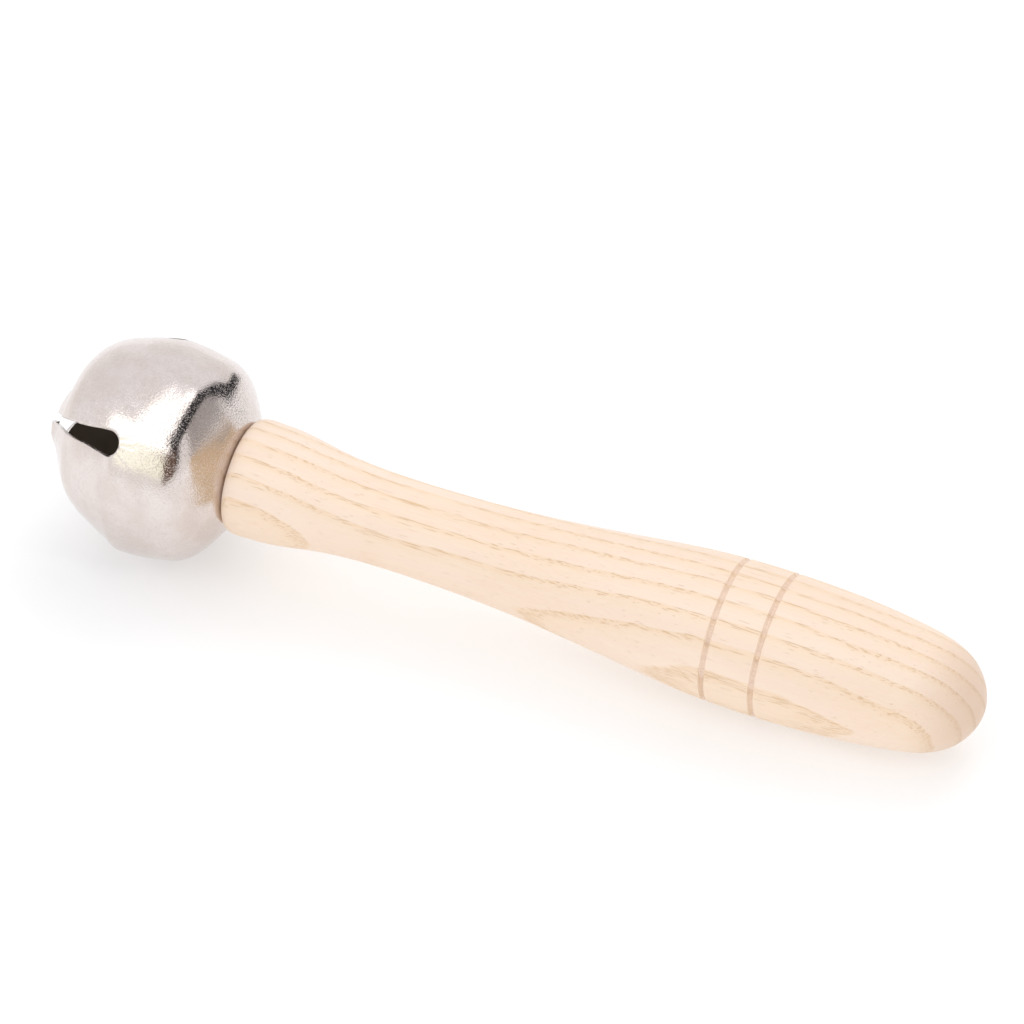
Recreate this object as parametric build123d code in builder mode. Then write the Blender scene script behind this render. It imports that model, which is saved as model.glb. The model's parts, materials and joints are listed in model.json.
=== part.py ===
from build123d import *
from math import asin, atan2, cos, hypot, pi, radians, sin, sqrt
import os

# Hand-held sleigh bell: one folded sheet-metal jingle bell, screwed to the end of a turned
# wooden handle. It lies on a surface, on the bell and on the belly of the handle.
# Millimetres, +Z up, +X from the bell towards the butt of the handle. Places along the
# handle are counted from the bell's centre, and radii from the handle's own axis.

# Bell, folded from one sheet
bell_radius = 19.0
sheet = 0.6
waist_radius = 26.0
shoulder_place = 10.0
shoulder_round = 6.0
crown_radius = 36.0
crown_place = 17.6
crown_flat_radius = 5.4

# Slots between the four petals
slot_count = 4
first_slot_angle = 37.0
slot_width_mouth = 1.6
slot_width_middle = 2.7
slot_width_end = 4.1
slot_middle_place = -9.5
slot_end_place = -0.5
petal_tip_round = 0.5

# One petal ends short of the others, and leaves the mouth open on its side
short_petal_angle = 262.0
short_petal_end = 4.4
short_petal_cut = 2.5

# Handle
seat_gap = 0.15
rim_radius = 9.1
collar_place = 21.0
collar_radius = 10.2
flare_place = 31.7
flare_radius = 8.85
neck_place = 49.0
neck_radius = 8.0
swell_place = 67.0
swell_radius = 8.7
taper_place = 85.0
taper_radius = 10.5
belly_place = 112.0
belly_radius = 12.5
belly_arc_radius = 200.0
belly_front_place = 104.0
belly_back_place = 124.0
flank_place = 137.0
flank_radius = 10.75
nose_place = 146.6
nose_radius = 7.35
butt_place = 150.3
groove_places = (105.0, 113.8)
groove_width = 1.0

# Striker ball, loose in the bell
ball_radius = 4.0
ball_gap = 0.3

# Screw and washer, inside the crown
washer_radius = 4.2
washer_thickness = 0.8
clearance_hole_radius = 1.6
screw_length = 16.0
shank_radius = 1.4
shank_length = 3.6
core_radius = 1.1
thread_radius = 1.5
thread_pitch = 1.25
thread_foot = 0.35
tip_length = 2.4
head_radius = 2.9
head_height = 1.9
head_round = 0.9
recess_length = 3.2
recess_width = 0.7
recess_depth = 1.1

# The slope it lies at: the lowest points of the waist's arc and of the belly's arc are level
waist_arc_height = bell_radius - waist_radius
belly_arc_height = belly_radius - belly_arc_radius
arc_rise = belly_arc_height - waist_arc_height
centres_apart = hypot(belly_place, arc_rise)
slope = asin((waist_radius - belly_arc_radius) / centres_apart) - atan2(arc_rise, belly_place)

axis_dir = Vector(cos(slope), 0, -sin(slope))
up_dir = Vector(sin(slope), 0, cos(slope))
side_dir = Vector(0, -1, 0)
centre_x = (bell_radius - butt_place * cos(slope)) / 2
centre_z = waist_radius + waist_arc_height * cos(slope)
bell_centre = Vector(centre_x, 0, centre_z)
stick_axis = Axis(bell_centre, axis_dir)
section = Plane(bell_centre, x_dir=axis_dir, z_dir=side_dir)


def belly_surface(place):
    """Radius of the belly's arc at a place along the handle."""
    return belly_arc_height + sqrt(belly_arc_radius**2 - (place - belly_place)**2)


# Corners of the bell's half outline, from the mouth to the crown
mouth_point = (-bell_radius, 0)
waist_point = (0, bell_radius)
shoulder_radius = waist_arc_height + sqrt(waist_radius**2 - shoulder_place**2)
shoulder_point = (shoulder_place, shoulder_radius)
crown_point = (crown_place, crown_flat_radius)
washer_face = crown_place - sheet
crown_arc_centre = RadiusArc(shoulder_point, crown_point, crown_radius).arc_center

# Bell: a round shell with a soft shoulder and a shallow crown, slotted into four petals
with BuildPart() as bell_shell:
    with BuildSketch(section):
        with BuildLine() as bell_outline:
            RadiusArc(mouth_point, waist_point, bell_radius)
            RadiusArc(waist_point, shoulder_point, waist_radius)
            RadiusArc(shoulder_point, crown_point, crown_radius)
            Line(crown_point, (crown_place, 0))
            fillet(bell_outline.vertices().sort_by_distance(shoulder_point)[0], shoulder_round)
            fillet(bell_outline.vertices().sort_by_distance(crown_point)[0], shoulder_round)
            outer_arcs = bell_outline.edges().filter_by(GeomType.CIRCLE)
            flat_edge = bell_outline.vertices().sort_by_distance(crown_point)[0]
            Line((crown_place, 0), mouth_point)
        make_face()
    revolve(axis=stick_axis)

    # The inside: the same arcs, one sheet thickness nearer to their centres
    with BuildSketch(section):
        with BuildLine():
            for arc in outer_arcs:
                middle = arc.arc_center
                scale_in = 1 - sheet / arc.radius
                ThreePointArc(*(middle + (arc @ part - middle) * scale_in for part in (0, 0.5, 1)))
            Polyline((washer_face, flat_edge.Y), (washer_face, 0), (sheet - bell_radius, 0))
        make_face()
    revolve(axis=stick_axis, mode=Mode.SUBTRACT)

    slot_round = slot_width_end / 2
    for slot in range(slot_count):
        angle = radians(first_slot_angle + slot * 360 / slot_count)
        outward = side_dir * cos(angle) + up_dir * sin(angle)
        with BuildSketch(Plane(bell_centre, x_dir=axis_dir, z_dir=outward)):
            with BuildLine():
                past_mouth = -bell_radius - 1
                edge = Line((past_mouth, slot_width_mouth / 2), (slot_middle_place, slot_width_middle / 2))
                flare_end = (slot_end_place - slot_round, slot_round)
                Spline(edge @ 1, flare_end, tangents=(edge % 1, (1, 0)))
                RadiusArc(flare_end, (slot_end_place, 0), slot_round)
                mirror(about=Plane.XZ)
                Line((past_mouth, slot_width_mouth / 2), (past_mouth, -slot_width_mouth / 2))
            make_face()
        extrude(amount=bell_radius + 1, mode=Mode.SUBTRACT)

    mouth = bell_centre - axis_dir * bell_radius
    with BuildSketch(Plane(mouth, x_dir=outward, z_dir=axis_dir)) as mouth_cross:
        Rectangle(3 * slot_width_mouth, slot_width_mouth)
        Rectangle(slot_width_mouth, 3 * slot_width_mouth)
        petal_tips = mouth_cross.vertices().sort_by_distance(mouth)[:slot_count]
        fillet(petal_tips, petal_tip_round)
    extrude(amount=2 * sheet, mode=Mode.SUBTRACT)

    angle = radians(short_petal_angle)
    outward = side_dir * cos(angle) + up_dir * sin(angle)
    with BuildSketch(Plane(mouth, x_dir=outward, z_dir=axis_dir)):
        with BuildLine():
            Polyline(
                (0, 0),
                (short_petal_end, short_petal_end),
                (short_petal_end, -short_petal_end),
                close=True,
            )
        make_face()
    extrude(amount=short_petal_cut, mode=Mode.SUBTRACT)

    with BuildSketch(Plane(bell_centre, x_dir=up_dir, z_dir=axis_dir)):
        Circle(clearance_hole_radius)
    extrude(amount=bell_radius + 1, mode=Mode.SUBTRACT)

# Washer: flat against the inside of the crown
with BuildPart() as screw_washer:
    with BuildSketch(Plane(bell_centre + axis_dir * washer_face, x_dir=up_dir, z_dir=-axis_dir)):
        Circle(washer_radius)
        Circle(clearance_hole_radius, mode=Mode.SUBTRACT)
    extrude(amount=washer_thickness)
    chamfer(screw_washer.edges().group_by(SortBy.LENGTH)[-1], washer_thickness / 5)

# Wood screw: its pan head is inside the bell, and its thread bites into the handle
head_seat = washer_face - washer_thickness
head_face = head_seat - head_height
shank_end = head_seat + shank_length
screw_end = head_seat + screw_length
with BuildPart() as mounting_screw:
    with BuildSketch(section) as screw_outline:
        with BuildLine():
            Polyline(
                (head_face, 0),
                (head_face, head_radius),
                (head_seat, head_radius),
                (head_seat, shank_radius),
                (shank_end, shank_radius),
                (shank_end + thread_foot, core_radius),
                (screw_end - tip_length, core_radius),
                (screw_end, 0),
                close=True,
            )
        make_face()
        head_edge = section.from_local_coords((head_face, head_radius))
        fillet(screw_outline.vertices().sort_by_distance(head_edge)[0], head_round)
        ridge_count = int((screw_end - tip_length - shank_end) / thread_pitch)
        for ridge in range(ridge_count):
            crest = shank_end + (ridge + 1) * thread_pitch
            with BuildLine():
                Polyline(
                    (crest - thread_foot, core_radius / 2),
                    (crest - thread_foot, core_radius),
                    (crest, thread_radius),
                    (crest + thread_foot, core_radius),
                    (crest + thread_foot, core_radius / 2),
                    close=True,
                )
            make_face()
    revolve(axis=stick_axis)
    with BuildSketch(Plane(bell_centre + axis_dir * head_face, x_dir=up_dir, z_dir=axis_dir)):
        Rectangle(recess_length, recess_width)
        Rectangle(recess_width, recess_length)
    extrude(amount=recess_depth, mode=Mode.SUBTRACT)

# Handle: a dished end that the crown sits in, collar, neck, belly with two grooves, round butt
cup_radius = crown_radius + seat_gap
pad_radius = crown_arc_centre.Y + sqrt(cup_radius**2 - (crown_place - crown_arc_centre.X)**2)
rim_place = crown_arc_centre.X + sqrt(cup_radius**2 - (rim_radius - crown_arc_centre.Y)**2)
rim_point = (rim_place, rim_radius)
belly_front = (belly_front_place, belly_surface(belly_front_place))
belly_back = (belly_back_place, belly_surface(belly_back_place))
with BuildPart() as handle:
    with BuildSketch(section):
        with BuildLine():
            Line((crown_place, 0), (crown_place, pad_radius))
            RadiusArc((crown_place, pad_radius), rim_point, -cup_radius)
            Spline(rim_point, (collar_place, collar_radius), tangents=((0.2, 1), (1, 0)))
            belly = RadiusArc(belly_front, belly_back, belly_arc_radius)
            Spline(
                (collar_place, collar_radius),
                (flare_place, flare_radius),
                (neck_place, neck_radius),
                (swell_place, swell_radius),
                (taper_place, taper_radius),
                belly_front,
                tangents=((1, 0), belly % 0),
            )
            Spline(
                belly_back,
                (flank_place, flank_radius),
                (nose_place, nose_radius),
                (butt_place, 0),
                tangents=(belly % 1, (0, -1)),
            )
            Line((butt_place, 0), (crown_place, 0))
        make_face()
        for groove_place in groove_places:
            with Locations((groove_place, belly_surface(groove_place))):
                Circle(groove_width / 2, mode=Mode.SUBTRACT)
    revolve(axis=stick_axis)
    with BuildSketch(Plane(bell_centre + axis_dir * crown_place, x_dir=up_dir, z_dir=axis_dir)):
        Circle(core_radius)
    extrude(amount=screw_end - crown_place, mode=Mode.SUBTRACT)

# Striker ball: at rest on the lowest part of the bell's wall
ball_drop = bell_radius - sheet - ball_gap - ball_radius
ball_centre = bell_centre - Vector(0, 0, ball_drop)
with BuildPart(Plane(ball_centre)) as striker_ball:
    Sphere(ball_radius)

bell_shell.part.label = "bell_shell"
screw_washer.part.label = "screw_washer"
mounting_screw.part.label = "mounting_screw"
handle.part.label = "handle"
striker_ball.part.label = "striker_ball"

os.makedirs("parts", exist_ok=True)
for piece in (bell_shell, screw_washer, mounting_screw, handle, striker_ball):
    export_step(piece.part, f"parts/{piece.part.label}.step")

grip_centre = bell_centre + axis_dir * belly_place
print(f"slope {slope * 180 / pi:.4f} degrees")
print(f"bell centre {bell_centre.X:.4f} {bell_centre.Y:.4f} {bell_centre.Z:.4f}")
print(f"axis {axis_dir.X:.6f} {axis_dir.Y:.6f} {axis_dir.Z:.6f}")
print(f"grip centre {grip_centre.X:.4f} {grip_centre.Y:.4f} {grip_centre.Z:.4f}")
print(f"ball travel {2 * ball_drop:.4f}")
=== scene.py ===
import json
import math

import bpy
import numpy as np
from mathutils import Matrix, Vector, noise


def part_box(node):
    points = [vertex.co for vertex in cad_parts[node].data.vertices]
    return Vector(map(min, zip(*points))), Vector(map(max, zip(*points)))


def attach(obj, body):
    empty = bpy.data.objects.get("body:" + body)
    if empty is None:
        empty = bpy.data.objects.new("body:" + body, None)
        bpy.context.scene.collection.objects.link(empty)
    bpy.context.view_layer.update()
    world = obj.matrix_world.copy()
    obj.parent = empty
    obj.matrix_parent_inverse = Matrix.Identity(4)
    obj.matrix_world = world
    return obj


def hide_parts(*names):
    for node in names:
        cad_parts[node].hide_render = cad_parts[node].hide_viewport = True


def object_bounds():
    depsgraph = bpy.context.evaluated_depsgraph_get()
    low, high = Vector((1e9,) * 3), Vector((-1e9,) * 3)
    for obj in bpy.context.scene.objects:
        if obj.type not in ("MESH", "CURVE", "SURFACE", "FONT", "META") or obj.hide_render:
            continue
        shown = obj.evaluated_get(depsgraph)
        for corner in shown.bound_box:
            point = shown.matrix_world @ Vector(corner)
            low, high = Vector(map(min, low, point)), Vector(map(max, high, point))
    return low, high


# A hand-held sleigh bell on a pale floor. Lengths are in millimetres until MM turns them into
# Blender's metres. Places along the stick are counted from the bell's centre towards the butt,
# radii from the stick's axis, and azimuths round the axis from the side that faces -Y, upwards.

MM = 0.001

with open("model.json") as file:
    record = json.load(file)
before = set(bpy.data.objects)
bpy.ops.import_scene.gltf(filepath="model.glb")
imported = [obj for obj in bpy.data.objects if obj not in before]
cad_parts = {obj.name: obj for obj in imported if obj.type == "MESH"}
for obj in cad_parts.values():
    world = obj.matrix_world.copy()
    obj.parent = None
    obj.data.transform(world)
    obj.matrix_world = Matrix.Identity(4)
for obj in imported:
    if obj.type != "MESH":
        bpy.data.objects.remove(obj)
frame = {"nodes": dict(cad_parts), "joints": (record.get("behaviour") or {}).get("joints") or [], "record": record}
cad_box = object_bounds()


# ---------------------------------------------------------------- the frame's own places

def bell_middle():
    """The bell's centre: half of the striker's travel above the middle of its ball."""
    low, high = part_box("striker_ball")
    travel = frame["joints"][0]["range_m"][1]
    return (low + high) / 2 + Vector((0, 0, travel / 2))


def stick_direction():
    """Unit vector along the stick, from the bell to the butt, as the grip's mount states it."""
    grip = next(m for m in frame["record"]["mounts"] if m["name"] == "grip")
    return Vector(grip["axis"]).normalized()


CENTRE = bell_middle()
ALONG = stick_direction()
SIDE = Vector((0, -1, 0))
UP = SIDE.cross(ALONG)


def stick_points(place, radius, azimuth):
    """World points, in metres, of places in millimetres and azimuths in radians."""
    place, radius, azimuth = np.broadcast_arrays(place, radius, azimuth)
    outward = np.cos(azimuth)[..., None] * np.array(SIDE) + np.sin(azimuth)[..., None] * np.array(UP)
    return np.array(CENTRE) + MM * (place[..., None] * np.array(ALONG) + radius[..., None] * outward)


def smooth_step(low, high, value):
    """0 below low, 1 above high, and smooth between them."""
    t = np.clip((np.asarray(value, float) - low) / (high - low), 0, 1)
    return t * t * (3 - 2 * t)


def noise_at(points, size, shift):
    """Smooth noise, about -1 to 1, at points in metres; size is that of a lump in millimetres."""
    flat = points.reshape(-1, 3) / (size * MM)
    values = [noise.noise(Vector(point) + Vector(shift)) for point in flat]
    return np.array(values).reshape(points.shape[:-1])


def keep_stick_places(thing):
    """Keeps each vertex's place along the stick, and its offsets to the side and up."""
    points = np.empty(3 * len(thing.data.vertices))
    thing.data.vertices.foreach_get("co", points)
    points = (points.reshape(-1, 3) - np.array(CENTRE)) / MM
    places = points @ np.array([ALONG, SIDE, UP]).T
    kept = thing.data.attributes.new("stick", "FLOAT_VECTOR", "POINT")
    kept.data.foreach_set("vector", places.ravel())


def closed(rows):
    """Rows of vertex numbers that go all the way round: each row's first number ends it too."""
    return np.hstack([rows, rows[:, :1]])


def quads(rows):
    """Four-sided faces between successive rows of vertex numbers, wound to face outwards."""
    return [
        (far[i], far[i + 1], near[i + 1], near[i])
        for near, far in zip(rows, rows[1:]) for i in range(len(near) - 1)
    ]


def mesh_object(name, points, faces):
    """A smooth-shaded mesh object."""
    mesh = bpy.data.meshes.new(name)
    mesh.from_pydata([tuple(p) for p in points], [], [tuple(map(int, f)) for f in faces])
    mesh.validate()
    mesh.polygons.foreach_set("use_smooth", [True] * len(mesh.polygons))
    mesh.update()
    thing = bpy.data.objects.new(name, mesh)
    bpy.context.scene.collection.objects.link(thing)
    return thing


# ---------------------------------------------------------------- bell

# A half ball at the mouth, then a longer arc to the shoulder, a shallow crown and its small flat
BELL_RADIUS = 19.0
SHEET = 0.6
WAIST_RADIUS = 26.0
SHOULDER_PLACE = 10.0
SHOULDER_ROUND = 0.85
CROWN_RADIUS = 36.0
CROWN_PLACE = 17.6
CROWN_FLAT_RADIUS = 5.4
CROWN_EDGE_ROUND = 0.28
SCREW_HOLE_RADIUS = 1.6
FAR_OUT = 99.0

# Slots taper a little to the mouth, and widen to a round end near the bell's middle
SLOT_COUNT = 4
SLOT_AZIMUTHS = (37.0, 127.0, 214.0, 307.0)
SLOT_HALF_MOUTH = 0.8
SLOT_HALF_MIDDLE = 1.35
SLOT_MIDDLE_PLACE = -9.5
SLOT_ROUND = 2.05
SLOT_END_PLACE = -0.5

# Each petal's tip is rounded, but one lower petal ends short and straight. The first row of
# vertices lies TIP_START inside the tip, where the petal has some width
TIP_ROUND = 0.5
TIP_START = 0.02
SHORT_PETAL = 2
SHORT_PETAL_END = 4.4

# The cut edge bulges out of the sheet, and the lower the power the squarer it is
EDGE_ROUND = 0.12
EDGE_POWER = 0.6
EDGE_ANGLES = (54, 27, 0, -27, -54)

# How far the hammered sheet stands out from the round shape, at angles from the mouth in degrees:
# an upper petal, a lower petal, and the shoulder and crown beyond them
UPPER_FOLD = (
    (5, -0.5), (14, -0.6), (20, -1.0), (26, -1.35), (31, -1.35),
    (37, -0.7), (42, -0.1), (74, -0.15), (87, 0),
)
LOWER_FOLD = (
    (8, 0), (15, -0.2), (18, -0.75), (25, -1.3), (36, -1.5),
    (46, -1.2), (72, -1.2), (80, -0.8), (87, 0),
)
CROWN_FOLD = ((104, 0), (118, 0.23), (126, 0.14), (138, -0.08), (149, -0.04), (156, 0))

# How much of the upper petals' fold each petal has, the rest being the lower petals'
UPPER_SHARES = (1, 1, 0.3, 0)

DENT_DEPTH = 0.07
DENT_SIZE = 5.0
DENT_SHIFT = (51.9, 15.3, 29.1)

# The mesh's rows and columns. A petal's first rows, in its tip, are the closest together
TIP_ROWS = 15
TIP_ROWS_ANGLE = 5
SIDE_ROWS = 61
SLOT_END_ROWS = 16
DOME_ROWS = 84
PETAL_COLUMNS = 56


def crown_arc_centre():
    """Centre (place, radius) of the shallow crown's arc, from the shoulder to the crown's flat."""
    shoulder_radius = BELL_RADIUS - WAIST_RADIUS + math.sqrt(WAIST_RADIUS**2 - SHOULDER_PLACE**2)
    shoulder = Vector((SHOULDER_PLACE, shoulder_radius))
    flat = Vector((CROWN_PLACE, CROWN_FLAT_RADIUS))
    chord = flat - shoulder
    inward = Vector((chord.y, -chord.x)).normalized()
    return (shoulder + flat) / 2 + inward * math.sqrt(CROWN_RADIUS**2 - chord.length_squared / 4)


def blend_lower(a, b, width):
    """The lower of two arrays, with the corner between them rounded over a width."""
    share = np.clip(0.5 + 0.5 * (b - a) / width, 0, 1)
    return b * (1 - share) + a * share - width * share * (1 - share)


def bell_outline(polar):
    """Distance from the bell's centre to its round outline, at an angle from the mouth."""
    sine, cosine = np.sin(polar), np.cos(polar)
    drop = WAIST_RADIUS - BELL_RADIUS
    waist = -drop * sine + np.sqrt(WAIST_RADIUS**2 - (drop * cosine)**2)
    body = np.where(polar < math.pi / 2, BELL_RADIUS, waist)
    centre = crown_arc_centre()
    reach = -centre.x * cosine + centre.y * sine
    crown = reach + np.sqrt(np.maximum(reach**2 + CROWN_RADIUS**2 - centre.length_squared, 0))

    # On the mouth's half the crown and its flat lie far outside the ball, and don't cut it
    crown = np.where(polar < math.pi / 2, FAR_OUT, crown)
    flat = CROWN_PLACE / np.maximum(-cosine, CROWN_PLACE / FAR_OUT)
    return blend_lower(blend_lower(body, crown, SHOULDER_ROUND), flat, CROWN_EDGE_ROUND)


def fold_height(degrees, fold):
    """How far a fold stands out from the round shape, smoothly between its stated angles."""
    angles, heights = np.array(fold, float).T
    slopes = np.gradient(heights, angles)
    slopes[[0, -1]] = 0
    degrees = np.clip(degrees, angles[0], angles[-1])
    part = np.clip(np.searchsorted(angles, degrees, side="right") - 1, 0, len(angles) - 2)
    step = angles[part + 1] - angles[part]
    t = (degrees - angles[part]) / step
    return (
        (2 * t**3 - 3 * t**2 + 1) * heights[part] + (t**3 - 2 * t**2 + t) * step * slopes[part]
        + (3 * t**2 - 2 * t**3) * heights[part + 1] + (t**3 - t**2) * step * slopes[part + 1]
    )


def bell_surface(polar, azimuth, upper):
    """Outer surface of the bell, in metres; upper is 1 on an upper petal and 0 on a lower one."""
    degrees = np.degrees(polar)
    upper_fold, lower_fold = fold_height(degrees, UPPER_FOLD), fold_height(degrees, LOWER_FOLD)
    fold = upper * upper_fold + (1 - upper) * lower_fold
    radius = bell_outline(polar) + fold + fold_height(degrees, CROWN_FOLD)
    smooth = stick_points(-radius * np.cos(polar), radius * np.sin(polar), azimuth)
    radius = radius - DENT_DEPTH / 2 * (1 + noise_at(smooth, DENT_SIZE, DENT_SHIFT))
    return stick_points(-radius * np.cos(polar), radius * np.sin(polar), azimuth)


def slot_half_width(place):
    """Half the width of a slot at a place along the axis."""
    taper = np.interp(place, [-BELL_RADIUS, SLOT_MIDDLE_PLACE], [SLOT_HALF_MOUTH, SLOT_HALF_MIDDLE])
    end_centre = SLOT_END_PLACE - SLOT_ROUND
    widening = smooth_step(SLOT_MIDDLE_PLACE, end_centre, place)
    flare = SLOT_HALF_MIDDLE + (SLOT_ROUND - SLOT_HALF_MIDDLE) * widening
    past = np.clip((place - end_centre) / SLOT_ROUND, 0, 1)
    end = SLOT_ROUND * np.sqrt(1 - past**2)
    return np.where(place < SLOT_MIDDLE_PLACE, taper, np.where(place < end_centre, flare, end))


def petal_half_angle(polar, span, short):
    """Half of a petal's angle round the axis; span is that from its middle to a slot's middle."""
    place = -BELL_RADIUS * np.cos(polar)
    radius = BELL_RADIUS * np.sin(polar)
    edge = np.arcsin(np.clip((slot_half_width(place) + EDGE_ROUND) / radius, 0, math.sqrt(0.5)))
    if short:
        tip = np.arccos(np.clip(SHORT_PETAL_END / radius, 0, 1))
        return np.minimum(tip, span - edge)
    tip_centre = SLOT_HALF_MOUTH * math.sqrt(2) + TIP_ROUND * math.sqrt(2)
    from_centre = np.clip(tip_centre - radius, 0, TIP_ROUND)
    tip = np.sqrt(np.maximum(TIP_ROUND**2 - from_centre**2, 0)) / radius
    in_tip = radius < tip_centre - TIP_ROUND * math.sqrt(0.5)
    return np.where(in_tip, np.minimum(tip, span - edge), span - edge)


def petal_rows(short):
    """Angles from the mouth of a petal's rows: close at the tip and round the slot's end."""
    start = SLOT_HALF_MOUTH * math.sqrt(2) + TIP_ROUND * (math.sqrt(2) - 1)
    if short:
        start = SHORT_PETAL_END
    end_centre = SLOT_END_PLACE - SLOT_ROUND
    side_end = math.acos(-end_centre / BELL_RADIUS)
    first = math.asin((start + TIP_START) / BELL_RADIUS)
    tip = first + math.radians(TIP_ROWS_ANGLE) * np.linspace(0, 1, TIP_ROWS)**1.5
    side = np.linspace(tip[-1], side_end, SIDE_ROWS + 1)[1:]
    quarter = np.linspace(0, math.pi / 2, SLOT_END_ROWS + 2)[1:-1]
    round_places = end_centre + SLOT_ROUND * np.sin(quarter)
    return np.concatenate([tip, side, np.arccos(-round_places / BELL_RADIUS)])


def dome_rows():
    """Angles from the mouth of the whole half's rows, from the slots' ends to the screw's hole."""
    first = math.acos(-SLOT_END_PLACE / BELL_RADIUS)
    last = math.pi - math.atan(SCREW_HOLE_RADIUS / CROWN_PLACE)
    return np.linspace(first, last, DOME_ROWS)


def petal_places(petal, slots):
    """Angles from the mouth, azimuths and shares of the upper fold, over one petal's grid."""
    short = petal == SHORT_PETAL
    middle, span = (slots[petal] + slots[petal + 1]) / 2, (slots[petal + 1] - slots[petal]) / 2
    rows = petal_rows(short)[:, None]
    across = np.linspace(-1, 1, PETAL_COLUMNS + 1)
    azimuth = middle + across * petal_half_angle(rows, span, short)
    return np.broadcast_arrays(rows, azimuth, UPPER_SHARES[petal])


def dome_places(slots):
    """The same over the whole half's grid, whose columns carry on from the petals'."""
    columns = np.arange(SLOT_COUNT * PETAL_COLUMNS) / PETAL_COLUMNS
    azimuth = np.interp(columns, np.arange(SLOT_COUNT + 1), slots)
    return np.broadcast_arrays(dome_rows()[:, None], azimuth, 1.0)


def surface_normals(polar, azimuth, upper):
    """Outward unit normals of the bell's outer surface."""
    step = 1e-3
    d_polar = bell_surface(polar + step, azimuth, upper) - bell_surface(polar - step, azimuth, upper)
    d_azimuth = bell_surface(polar, azimuth + step, upper) - bell_surface(polar, azimuth - step, upper)
    normal = np.cross(d_polar, d_azimuth)
    return normal / np.linalg.norm(normal, axis=-1, keepdims=True)


def cut_edge_loop(petals, dome_start):
    """Vertex numbers along the cut edge, in and out of each slot and round each petal's tip."""
    loop = []
    for petal, rows in enumerate(petals):
        loop.append(dome_start[petal * PETAL_COLUMNS])
        loop += [*rows[:0:-1, 0], *rows[0], *rows[1:, -1]]
    return np.array(loop)


def cut_edge_points(rim, normals):
    """Rows of points that round the cut edge, from the outer skin to the inner one."""
    tangent = np.roll(rim, -1, axis=0) - np.roll(rim, 1, axis=0)
    outward = np.cross(tangent, normals)
    outward /= np.linalg.norm(outward, axis=-1, keepdims=True)
    rows = []
    for angle in np.radians(EDGE_ANGLES):
        bulge = EDGE_ROUND * MM * math.cos(angle)**EDGE_POWER
        height = SHEET * MM / 2 * math.copysign(abs(math.sin(angle))**EDGE_POWER, angle)
        rows.append(rim + outward * bulge + normals * (height - SHEET * MM / 2))
    return rows


def make_bell():
    """The folded shell as one closed mesh: outer skin, inner skin and rounded cut edges."""
    slots = np.radians(SLOT_AZIMUTHS + (SLOT_AZIMUTHS[0] + 360,))
    patches = [petal_places(petal, slots) for petal in range(SLOT_COUNT)] + [dome_places(slots)]
    polar, azimuth, upper = (
        np.concatenate([values.ravel() for values in kind]) for kind in zip(*patches)
    )
    normals = surface_normals(polar, azimuth, upper)
    outer = bell_surface(polar, azimuth, upper)
    inner = outer - normals * SHEET * MM
    count = len(outer)

    # Vertex numbers of the outer skin, by row and column. The inner skin's are higher by count
    ends = np.cumsum([patch[0].size for patch in patches])
    numbers = np.split(np.arange(count), ends[:-1])
    *petals, dome = (part.reshape(patch[0].shape) for part, patch in zip(numbers, patches))
    dome = closed(dome)
    skin = []
    for petal, rows in enumerate(petals):
        first = petal * PETAL_COLUMNS
        skin += quads(np.vstack([rows, dome[:1, first:first + PETAL_COLUMNS + 1]]))
    skin += quads(dome)
    lining = [tuple(count + index for index in reversed(face)) for face in skin]

    loop = cut_edge_loop(petals, dome[0])
    edge_points = cut_edge_points(outer[loop], normals[loop])
    strip = len(edge_points) * len(loop)
    strip_rows = 2 * count + np.arange(strip).reshape(-1, len(loop))
    edge = quads(closed(np.vstack([loop, strip_rows, loop + count])).T)
    hole = quads(np.vstack([dome[-1], dome[-1] + count]))

    points = np.concatenate([outer, inner, *edge_points])
    bell = mesh_object("bell", points, skin + lining + edge + hole)
    keep_stick_places(bell)
    is_lining = np.repeat([0.0, 1.0, 0.0], [count, count, strip])
    is_cut = np.repeat([0.0, 1.0], [2 * count, strip])
    for name, values in (("lining", is_lining), ("cut_edge", is_cut)):
        bell.data.attributes.new(name, "FLOAT", "POINT").data.foreach_set("value", values)
    bell.modifiers.new("even_shading", "WEIGHTED_NORMAL").keep_sharp = True
    return bell


# ---------------------------------------------------------------- handle

# The front end is flat out to PAD_RADIUS, then dished to clear the bell's crown, up to the rim
CUP_CLEARANCE = 0.15
PAD_RADIUS = 5.8
RIM_RADIUS = 9.1
RIM_LEAN = 0.2
CUP_POINTS = 14

# Places and radii that the turned outline passes through
COLLAR = (21.0, 10.2)
FLARE = (31.7, 8.85)
NECK = (49.0, 8.0)
SWELL = (67.0, 8.7)
TAPER = (85.0, 10.5)
BELLY_PLACE = 112.0
BELLY_RADIUS = 12.5
BELLY_ARC_RADIUS = 200.0
BELLY_FRONT_PLACE = 104.0
BELLY_BACK_PLACE = 124.0
BELLY_SPACING = 0.5
FLANK = (137.0, 10.75)
NOSE = (146.6, 7.35)
BUTT_PLACE = 150.3

# Two grooves, with a faint burr at each side. Points are close for GROOVE_REACH widths to each
# side of a groove, and the burr's middle and spread are in half widths
GROOVE_PLACES = (105.0, 113.8)
GROOVE_WIDTH = 1.0
GROOVE_DEPTH = 0.45
GROOVE_REACH = 0.9
GROOVE_POINTS = 29
BURR_HEIGHT = 0.03
BURR_MIDDLE = 1.25
BURR_SPREAD = 0.25

PILOT_RADIUS = 1.1
PILOT_END = 32.2
HANDLE_COLUMNS = 144


def belly_radius(place):
    """Radius of the belly's long arc at a place."""
    return BELLY_RADIUS - BELLY_ARC_RADIUS + np.sqrt(BELLY_ARC_RADIUS**2 - (place - BELLY_PLACE)**2)


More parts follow.
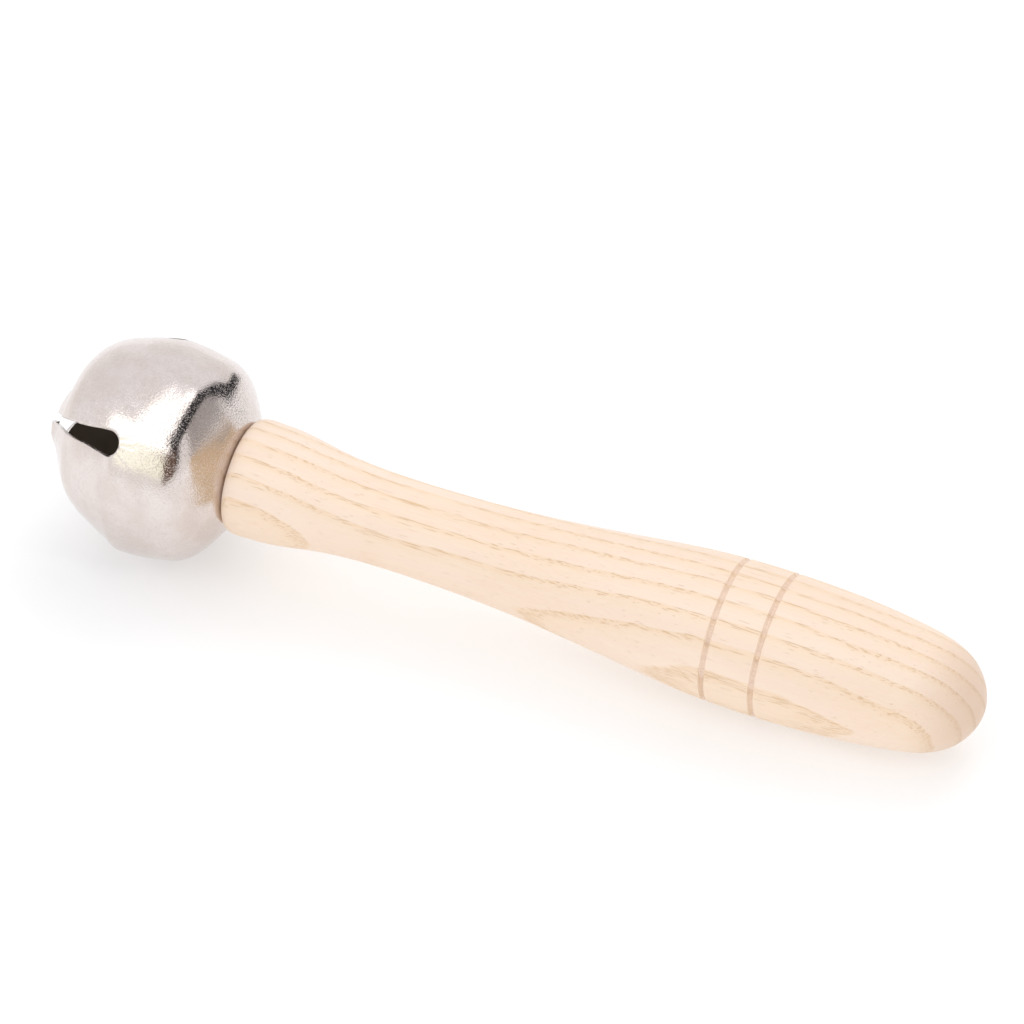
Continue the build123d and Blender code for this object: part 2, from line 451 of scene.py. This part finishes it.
def belly_slope(place):
    """Direction of the belly's outline at a place."""
    across = place - BELLY_PLACE
    return (1.0, -across / math.sqrt(BELLY_ARC_RADIUS**2 - across**2))


def spline(points, start, end, spacing):
    """Points along the smooth curve through the given ones, with given directions at its ends."""
    points = np.array(points, float)
    chords = np.linalg.norm(np.diff(points, axis=0), axis=1)
    size = len(points)
    matrix, right = np.zeros((size, size)), np.zeros((size, 2))
    matrix[0, 0] = matrix[-1, -1] = 1
    right[0] = np.array(start) / np.linalg.norm(start)
    right[-1] = np.array(end) / np.linalg.norm(end)
    for i in range(1, size - 1):
        before, after = chords[i - 1], chords[i]
        matrix[i, i - 1:i + 2] = after, 2 * (before + after), before
        step_in, step_out = points[i] - points[i - 1], points[i + 1] - points[i]
        right[i] = 3 * (after / before * step_in + before / after * step_out)
    tangents = np.linalg.solve(matrix, right)
    curve = []
    for i, chord in enumerate(chords):
        for t in np.arange(0, 1, spacing / chord):
            t2, t3 = t * t, t * t * t
            curve.append(
                (2 * t3 - 3 * t2 + 1) * points[i] + (t3 - 2 * t2 + t) * chord * tangents[i]
                + (3 * t2 - 2 * t3) * points[i + 1] + (t3 - t2) * chord * tangents[i + 1]
            )
    curve.append(points[-1])
    return curve


def cup_place(radius):
    """Place of the dished end's surface at a radius, just clear of the bell's crown."""
    centre = crown_arc_centre()
    return centre.x + np.sqrt((CROWN_RADIUS + CUP_CLEARANCE)**2 - (radius - centre.y)**2)


def belly_outline():
    """The belly's arc, with two round-bottomed grooves that have a faint burr at each side."""
    places = np.arange(BELLY_FRONT_PLACE, BELLY_BACK_PLACE + BELLY_SPACING / 2, BELLY_SPACING)
    reach = GROOVE_WIDTH * GROOVE_REACH
    for groove in GROOVE_PLACES:
        kept = places[np.abs(places - groove) > reach]
        places = np.sort(np.append(kept, groove + np.linspace(-reach, reach, GROOVE_POINTS)))
    radii = belly_radius(places)
    for groove in GROOVE_PLACES:
        across = np.abs(places - groove) / (GROOVE_WIDTH / 2)
        radii = radii - GROOVE_DEPTH * np.sqrt(np.clip(1 - across**2, 0, 1))
        radii = radii + BURR_HEIGHT * np.exp(-((across - BURR_MIDDLE) / BURR_SPREAD)**2)
    return list(zip(places, radii))


def handle_outline():
    """Closed outline of the handle: pilot hole, dished end, collar, neck, belly, round butt."""
    cup_radii = np.linspace(PAD_RADIUS, RIM_RADIUS, CUP_POINTS)
    cup = [(cup_place(radius), radius) for radius in cup_radii]
    front = (BELLY_FRONT_PLACE, belly_radius(BELLY_FRONT_PLACE))
    back = (BELLY_BACK_PLACE, belly_radius(BELLY_BACK_PLACE))
    front_slope, back_slope = belly_slope(BELLY_FRONT_PLACE), belly_slope(BELLY_BACK_PLACE)
    grip = [COLLAR, FLARE, NECK, SWELL, TAPER, front]
    butt = [back, FLANK, NOSE, (BUTT_PLACE, 0)]
    outline = [(PILOT_END, 0), (PILOT_END, PILOT_RADIUS), (CROWN_PLACE, PILOT_RADIUS)]
    outline += cup[:-1]
    outline += spline([cup[-1], COLLAR], start=(RIM_LEAN, 1), end=(1, 0), spacing=0.25)[:-1]
    outline += spline(grip, start=(1, 0), end=front_slope, spacing=0.7)[:-1]
    outline += belly_outline()
    outline += spline(butt, start=back_slope, end=(0, -1), spacing=0.4)[1:]
    return np.array(outline, float)


def make_handle():
    """The turned handle as one closed mesh."""
    outline = handle_outline()
    body = outline[1:-1]
    turns = np.arange(HANDLE_COLUMNS) * 2 * math.pi / HANDLE_COLUMNS
    points = stick_points(body[:, :1], body[:, 1:], turns[None, :]).reshape(-1, 3)
    poles = stick_points(outline[[0, -1], 0], outline[[0, -1], 1], np.zeros(2))
    rows = closed(np.arange(len(points)).reshape(-1, HANDLE_COLUMNS))
    faces = quads(rows)
    start, end = len(points), len(points) + 1
    faces += [(here, after, start) for here, after in zip(rows[0], rows[0][1:])]
    faces += [(after, here, end) for here, after in zip(rows[-1], rows[-1][1:])]
    handle = mesh_object("handle_wood", np.concatenate([points, poles]), faces)
    keep_stick_places(handle)
    return handle


# ---------------------------------------------------------------- materials

def new_material(name, metallic=0):
    """A new node material, its tree and its shader."""
    material = bpy.data.materials.new(name)
    material.use_nodes = True
    shader = material.node_tree.nodes["Principled BSDF"]
    shader.inputs["Metallic"].default_value = metallic
    return material, material.node_tree, shader


def paint(thing, material):
    """Gives a whole object one material."""
    thing.data.materials.clear()
    thing.data.materials.append(material)


def node(tree, kind, inputs, **settings):
    """A new shader node. Each input is a value or another node's output."""
    made = tree.nodes.new("ShaderNode" + kind)
    for name, value in settings.items():
        setattr(made, name, value)
    for key, value in inputs.items():
        if isinstance(value, bpy.types.NodeSocket):
            tree.links.new(value, made.inputs[key])
        else:
            made.inputs[key].default_value = value
    return made


def math_node(tree, operation, first, second=0.0):
    """Arithmetic on one or two numbers."""
    return node(tree, "Math", {0: first, 1: second}, operation=operation).outputs[0]


def total(tree, first, *others):
    """The sum of some numbers."""
    for other in others:
        first = math_node(tree, "ADD", first, other)
    return first


def product(tree, first, *others):
    """The product of some numbers."""
    for other in others:
        first = math_node(tree, "MULTIPLY", first, other)
    return first


def remap(tree, value, low, high, at_low=0.0, at_high=1.0):
    """at_low where the value is below low, at_high above high, and smooth between them."""
    inputs = {"Value": value, "From Min": low, "From Max": high, "To Min": at_low, "To Max": at_high}
    return node(tree, "MapRange", inputs, interpolation_type="SMOOTHSTEP").outputs[0]


# Where a Mix node keeps its sockets for colours
MIX_FIRST = 6
MIX_SECOND = 7
MIX_RESULT = 2


def mix_colours(tree, share, first, second):
    """The first colour at share 0, the second at share 1."""
    inputs = {0: share}
    for key, colour in ((MIX_FIRST, first), (MIX_SECOND, second)):
        inputs[key] = colour if isinstance(colour, bpy.types.NodeSocket) else (*colour, 1)
    return node(tree, "Mix", inputs, data_type="RGBA").outputs[MIX_RESULT]


def kept_number(tree, name):
    """A number that the mesh keeps at each vertex."""
    return node(tree, "Attribute", {}, attribute_name=name).outputs["Fac"]


def stick_vector(tree):
    """Place, side and up of the shaded point, in millimetres."""
    return node(tree, "Attribute", {}, attribute_name="stick").outputs["Vector"]


def scaled(tree, vector, scale, shift=(0, 0, 0)):
    """A vector with each component scaled, then shifted."""
    inputs = {"Vector": vector, "Scale": scale, "Location": shift}
    return node(tree, "Mapping", inputs).outputs[0]


def grain_noise(tree, vector, scale, detail=2.0, roughness=0.5):
    """Noise between 0 and 1; scale is in lumps per unit of the vector."""
    inputs = {"Vector": vector, "Scale": scale, "Detail": detail, "Roughness": roughness}
    return node(tree, "TexNoise", inputs).outputs[0]


def streaks(tree, vector, along, across, detail=2.0, roughness=0.5):
    """Noise with its own numbers of lumps per millimetre along the vector's x and across it."""
    return grain_noise(tree, scaled(tree, vector, (along, across, across)), 1, detail, roughness)


def add_bumps(tree, shader, bumps):
    """Bumps on top of each other, each a height and its depth in millimetres."""
    normal = None
    for height, depth in bumps:
        inputs = {"Height": height, "Distance": depth * MM, "Strength": 1.0}
        if normal is not None:
            inputs["Normal"] = normal
        normal = node(tree, "Bump", inputs).outputs[0]
    tree.links.new(normal, shader.inputs["Normal"])


CREASE_RIPPLES = 17.0
CREASE_SWAY = 6.0


def crease_height(tree, stick):
    """Fine creases that fan out from the end of each slot, where the sheet was folded hardest."""
    place, side, up = node(tree, "SeparateXYZ", {0: stick}).outputs
    azimuth = math_node(tree, "ARCTAN2", up, side)
    turn = math_node(tree, "SUBTRACT", azimuth, math.radians(SLOT_AZIMUTHS[0]))
    half_step = math.pi / SLOT_COUNT
    wrap = node(tree, "Math", {0: turn, 1: -half_step, 2: half_step}, operation="WRAP").outputs[0]
    off = product(tree, wrap, BELL_RADIUS)
    ahead = math_node(tree, "SUBTRACT", place, SLOT_END_PLACE - SLOT_ROUND)
    fan = math_node(tree, "ARCTAN2", off, ahead)
    sway = product(tree, grain_noise(tree, stick, 0.7), CREASE_SWAY)
    ripple = math_node(tree, "SINE", total(tree, product(tree, fan, CREASE_RIPPLES), sway))

    # Only near the slot's end
    before = remap(tree, place, 1.0, 7.5, 1, 0)
    past = remap(tree, place, -2.0, 0.5)
    beside = remap(tree, math_node(tree, "ABSOLUTE", off), 1.5, 4.0, 1, 0)
    return product(tree, before, past, beside, ripple)


NICKEL_DULL = (0.73, 0.65, 0.61)
NICKEL_BRIGHT = (0.79, 0.72, 0.69)
NICKEL_MOTTLE = (0.62, 0.56, 0.52)
NICKEL_PIT = (0.62, 0.55, 0.51)
NICKEL_SPECK = (0.34, 0.30, 0.28)
# Painted shade: the bell's inside is the same plate, given a dark colour for the little light that reaches it
LINING_PAINTED_SHADE = (0.42, 0.36, 0.31)
CUT_SHEET = (0.90, 0.87, 0.84)
CUT_BRINK = (0.16, 0.13, 0.115)


def nickel_material():
    """Bright nickel plate, fine-pitted and slightly uneven, over a duller inside whose colour is painted dark as
    painted shade.
    """
    material, tree, shader = new_material("nickel_plate", metallic=1)
    stick = stick_vector(tree)
    cloud = grain_noise(tree, stick, 0.16, 3)
    mottle = grain_noise(tree, stick, 0.9, 4, 0.6)
    peel = grain_noise(tree, stick, 0.8)
    pits = grain_noise(tree, stick, 2.8, 2, 0.6)
    grit = remap(tree, grain_noise(tree, stick, 4.2, 2, 0.6), 0.56, 0.68)
    speck = remap(tree, grain_noise(tree, stick, 2.6, 3, 0.7), 0.66, 0.74)
    lining = kept_number(tree, "lining")
    cut = kept_number(tree, "cut_edge")

    # The brink is the thin line where the cut edge turns into the sheet
    brink = product(tree, cut, math_node(tree, "SUBTRACT", 1.0, cut))
    colour = mix_colours(tree, remap(tree, cloud, 0.35, 0.65), NICKEL_DULL, NICKEL_BRIGHT)
    colour = mix_colours(tree, remap(tree, mottle, 0.5, 0.75, 0, 0.25), colour, NICKEL_MOTTLE)
    colour = mix_colours(tree, remap(tree, pits, 0.45, 0.7, 0, 0.3), colour, NICKEL_PIT)
    colour = mix_colours(tree, product(tree, speck, 0.5), colour, NICKEL_SPECK)
    colour = mix_colours(tree, product(tree, cut, 0.8), colour, CUT_SHEET)
    colour = mix_colours(tree, product(tree, brink, 3.2), colour, CUT_BRINK)
    # The inside skin is painted dark, as painted shade, while its roughness makes it truly duller
    colour = mix_colours(tree, lining, colour, LINING_PAINTED_SHADE)
    tree.links.new(colour, shader.inputs["Base Color"])

    roughness = total(tree, remap(tree, mottle, 0.3, 0.75, 0.06, 0.14), product(tree, lining, 0.35))
    tree.links.new(roughness, shader.inputs["Roughness"])

    grit_hollow, speck_hollow = product(tree, grit, -1), product(tree, speck, -1)
    creases = crease_height(tree, stick)
    add_bumps(tree, shader, (
        (peel, 0.012), (pits, 0.027), (grit_hollow, 0.011), (creases, 0.014), (speck_hollow, 0.02),
    ))
    return material


# Growth rings round a pith that lies beside the stick, pushed in and out by slow noise
RING_WIDTH = 3.0
RING_AZIMUTH = 160.0
PITH_DISTANCE = 50.0
RING_SWAY = 2.0
RING_WOBBLE = 0.9
BUTT_SHADE_START = 138.0
BUTT_SHADE_END = 151.0

ASH_BASE = (0.90, 0.70, 0.54)
ASH_PALE = (0.93, 0.75, 0.615)
ASH_FIBRE = (0.95, 0.80, 0.66)
ASH_WARM = (0.90, 0.69, 0.46)
ASH_EARLY = (0.87, 0.61, 0.37)
ASH_PORE = (0.71, 0.44, 0.19)
ASH_BUTT = (0.62, 0.43, 0.30)
ASH_GROOVE = (0.56, 0.36, 0.27)


def ring_phase(tree, stick):
    """Where a point lies in its growth ring, from 0 where early wood starts to 1 at the end."""
    turn = math.radians(RING_AZIMUTH)
    pith = (0, PITH_DISTANCE * math.cos(turn), PITH_DISTANCE * math.sin(turn))
    from_pith = scaled(tree, stick, (0, 1, 1), [-part for part in pith])
    reach = node(tree, "VectorMath", {0: from_pith}, operation="LENGTH").outputs["Value"]
    sway = product(tree, streaks(tree, stick, 0.010, 0.05), RING_SWAY)
    wobble = product(tree, streaks(tree, stick, 0.06, 0.25), RING_WOBBLE)
    rings = math_node(tree, "DIVIDE", total(tree, reach, sway, wobble), RING_WIDTH)
    return math_node(tree, "FRACT", rings)


def ash_material():
    """Bare ash: growth rings nearly flat to the near side, with open pores in their early wood."""
    material, tree, shader = new_material("ash_wood")
    stick = stick_vector(tree)
    place = node(tree, "SeparateXYZ", {0: stick}).outputs[0]
    ring = ring_phase(tree, stick)
    start = remap(tree, ring, 0.0, 0.05)
    early = product(tree, start, remap(tree, ring, 0.1, 0.36, 1, 0))
    warm = product(tree, start, remap(tree, ring, 0.15, 0.7, 1, 0))

    # Pores are short dark dashes, gathered in the early wood
    pores = streaks(tree, stick, 0.2, 6.5, 1.5, 0.4)
    dash = remap(tree, total(tree, pores, product(tree, early, 0.15)), 0.69, 0.78)
    fibre = streaks(tree, stick, 0.12, 3.0, 4, 0.6)
    cloud = streaks(tree, stick, 0.02, 0.12)

    butt = remap(tree, place, BUTT_SHADE_START, BUTT_SHADE_END, 0, 0.58)
    colour = mix_colours(tree, remap(tree, cloud, 0.3, 0.7), ASH_BASE, ASH_PALE)
    colour = mix_colours(tree, product(tree, warm, 0.5), colour, ASH_WARM)
    colour = mix_colours(tree, product(tree, early, 0.34), colour, ASH_EARLY)
    colour = mix_colours(tree, remap(tree, fibre, 0.3, 0.7, 0, 0.4), colour, ASH_FIBRE)
    colour = mix_colours(tree, product(tree, dash, 0.55), colour, ASH_PORE)
    colour = mix_colours(tree, butt, colour, ASH_BUTT)
    patchy = remap(tree, fibre, 0.3, 0.7, 0.05, 0.45)
    for groove in GROOVE_PLACES:
        off = math_node(tree, "ABSOLUTE", math_node(tree, "SUBTRACT", place, groove))
        stain = product(tree, remap(tree, off, 0.2, 0.55, 1, 0), patchy)
        colour = mix_colours(tree, stain, colour, ASH_GROOVE)
    tree.links.new(colour, shader.inputs["Base Color"])
    tree.links.new(remap(tree, fibre, 0.2, 0.8, 0.42, 0.6), shader.inputs["Roughness"])
    shader.inputs["Specular IOR Level"].default_value = 0.5
    shader.inputs["Sheen Weight"].default_value = 0.12
    shader.inputs["Sheen Roughness"].default_value = 0.5

    dash_hollow, early_hollow = product(tree, dash, -1), product(tree, early, -1)
    add_bumps(tree, shader, ((fibre, 0.012), (dash_hollow, 0.035), (early_hollow, 0.02)))
    return material


def steel_material(name, colour, roughness):
    """Plain steel with a faintly uneven, finely scratched surface."""
    material, tree, shader = new_material(name, metallic=1)
    place = scaled(tree, node(tree, "TexCoord", {}).outputs["Object"], (1 / MM, 1 / MM, 1 / MM))
    cloud = remap(tree, grain_noise(tree, place, 0.7, 3), 0.35, 0.7)
    scratch = streaks(tree, place, 0.6, 6)
    dark = [part * 0.7 for part in colour]
    uneven = remap(tree, scratch, 0.3, 0.7, roughness * 0.8, roughness * 1.3)
    tree.links.new(mix_colours(tree, cloud, colour, dark), shader.inputs["Base Color"])
    tree.links.new(uneven, shader.inputs["Roughness"])
    add_bumps(tree, shader, ((scratch, 0.008),))
    return material


# ---------------------------------------------------------------- studio

# The camera looks down from the front right through a long lens. CAMERA_SIGHT is in metres
CAMERA_AZIMUTH = 23.11
CAMERA_ELEVATION = 39.62
CAMERA_LENS = 208.8
CAMERA_FROM_BELL = (365.75, -703.20, 639.84)
SENSOR_WIDTH = 36
CAMERA_SIGHT = 20

# The floor's size, and its gap below the object, are in metres
FLOOR_HALF_SIZE = 3.0
FLOOR_GAP = 0.0001
FLOOR_GREY = 0.6
FLOOR_GLOW = 0.41

# What the cards glow with
WHITE_BOX = (2.1, 2.1, 2.1)
WHITE_BOX_FRONT = (2.0, 2.0, 2.0)
WARM = (1.3, 1.33, 1.16)
GREY = (0.44, 0.42, 0.415)
BROWN = (0.17, 0.11, 0.085)
# A wood colour that glows only in reflections, as a painted reflection of the stick
STICK_REFLECTION_GLOW = (0.74, 0.57, 0.39)
GAP = (0.03, 0.03, 0.035)

# The surroundings' colour at the horizon and overhead
TENT_LOW = (0.97, 0.96, 0.955)
TENT_HIGH = (0.935, 0.93, 0.95)


def make_camera():
    """The camera, at the photograph's viewing angle."""
    data = bpy.data.cameras.new("camera")
    data.lens = CAMERA_LENS
    data.sensor_width = SENSOR_WIDTH
    data.clip_end = CAMERA_SIGHT
    camera = bpy.data.objects.new("camera", data)
    camera.location = CENTRE + Vector(CAMERA_FROM_BELL) * MM
    camera.rotation_euler = (math.radians(90 - CAMERA_ELEVATION), 0, math.radians(CAMERA_AZIMUTH))
    bpy.context.scene.collection.objects.link(camera)
    bpy.context.scene.camera = camera


def make_floor():
    """A pale floor with a faint glow, so that it stays nearly white under the soft light."""
    size = FLOOR_HALF_SIZE
    corners = [(-size, -size, 0), (size, -size, 0), (size, size, 0), (-size, size, 0)]
    floor = mesh_object("floor", np.array(corners), [(0, 1, 2, 3)])
    floor.location.z = cad_box[0].z - FLOOR_GAP
    material, _, shader = new_material("pale_floor")
    shader.inputs["Base Color"].default_value = (FLOOR_GREY, FLOOR_GREY, FLOOR_GREY, 1)
    shader.inputs["Roughness"].default_value = 0.9
    shader.inputs["Emission Color"].default_value = (1, 1, 1, 1)
    shader.inputs["Emission Strength"].default_value = FLOOR_GLOW
    paint(floor, material)


def direction(azimuth, elevation):
    """Unit vector out from the bell: azimuth 0 is towards -Y and 90 towards +X."""
    turn, rise = math.radians(azimuth), math.radians(elevation)
    level = math.cos(rise)
    return Vector((math.sin(turn) * level, -math.cos(turn) * level, math.sin(rise)))


def make_card(name, start, end, width, colour, distance):
    """A glowing strip round the bell, seen only in reflections.

    It runs between two directions (azimuth, elevation) from the bell's centre, and is as many
    degrees wide as width says. A nearer card covers a further one. Its distance is in metres.
    """
    first, last = direction(*start) * distance, direction(*end) * distance
    half_width = distance * math.tan(math.radians(width / 2))
    across = (last - first).cross(first + last).normalized() * half_width
    corners = (first - across, last - across, last + across, first + across)
    points = np.array([CENTRE + corner for corner in corners])
    card = mesh_object(name, points, [(0, 1, 2, 3)])
    material, _, shader = new_material(name)
    shader.inputs["Base Color"].default_value = (0, 0, 0, 1)
    shader.inputs["Roughness"].default_value = 1
    shader.inputs["Specular IOR Level"].default_value = 0
    shader.inputs["Emission Color"].default_value = (*colour, 1)
    shader.inputs["Emission Strength"].default_value = 1
    paint(card, material)
    card.visible_camera = False
    card.visible_diffuse = False
    card.visible_shadow = False
    card.visible_transmission = False


def make_cards():
    """What the bell mirrors.

    That is two soft boxes overhead, warm and grey surroundings, the dark gap that the camera
    looks through, and a wood-coloured glow near the collar, a painted reflection of the stick's side.
    """
    make_card("card_softbox_top", (0, 46), (142, 61), 25, WHITE_BOX, 1.0)
    make_card("card_softbox_front", (-58, 37), (18, 46), 18, WHITE_BOX_FRONT, 1.02)
    make_card("card_warm_front", (-25, 28), (18, 23), 28, WARM, 1.04)
    make_card("card_grey_side", (78, 27), (134, 27), 48, GREY, 1.06)
    make_card("card_gap_top", (26, 40), (140, 50), 25, GAP, 0.9)
    make_card("card_gap_back", (132, 62), (142, 3), 15, GAP, 0.88)
    make_card("card_gap_low", (164, -3), (133, 11.5), 11, GAP, 0.14)
    # Painted reflection: a wood-coloured glow beside the collar that stands in for the stick's side in the bell
    make_card("card_painted_stick_reflection", (69, -6), (116, -5), 40, STICK_REFLECTION_GLOW, 0.045)
    make_card("card_brown_front", (30, 38), (30, 6), 34, BROWN, 0.94)
    make_card("card_gap_front", (49, 46), (53, 8), 6, GAP, 0.92)


def make_lamp(name, place, size, power):
    """A square soft light that faces the object and isn't itself mirrored in it."""
    data = bpy.data.lights.new(name, "AREA")
    data.size = size
    data.energy = power
    lamp = bpy.data.objects.new(name, data)
    lamp.location = place
    lamp.rotation_euler = (-lamp.location).to_track_quat("-Z", "Y").to_euler()
    lamp.visible_glossy = False
    bpy.context.scene.collection.objects.link(lamp)


def make_light():
    """An evenly bright tent, a touch cooler overhead, and two soft lamps above the object."""
    world = bpy.data.worlds.new("tent")
    bpy.context.scene.world = world
    world.use_nodes = True
    tree = world.node_tree
    sky = node(tree, "TexCoord", {}).outputs["Generated"]
    height = node(tree, "SeparateXYZ", {0: sky}).outputs[2]
    tent = mix_colours(tree, remap(tree, height, 0, 0.5), TENT_LOW, TENT_HIGH)
    tree.links.new(tent, tree.nodes["Background"].inputs["Color"])
    make_lamp("softbox_front", (-0.3, -0.9, 1.4), 0.8, 1.6)
    make_lamp("softbox_back", (0.1, 0.8, 1.2), 0.8, 3.2)


# ---------------------------------------------------------------- the build

bpy.context.scene.view_settings.view_transform = "Standard"
make_camera()
make_floor()
make_cards()
make_light()

bell = make_bell()
paint(bell, nickel_material())
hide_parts("bell_shell")
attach(bell, "bell")

handle = make_handle()
paint(handle, ash_material())
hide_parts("handle")
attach(handle, "bell")

paint(frame["nodes"]["striker_ball"], steel_material("ball_steel", (0.45, 0.43, 0.41), 0.35))
paint(frame["nodes"]["mounting_screw"], steel_material("screw_steel", (0.6, 0.57, 0.5), 0.3))
paint(frame["nodes"]["screw_washer"], steel_material("washer_steel", (0.6, 0.58, 0.54), 0.35))
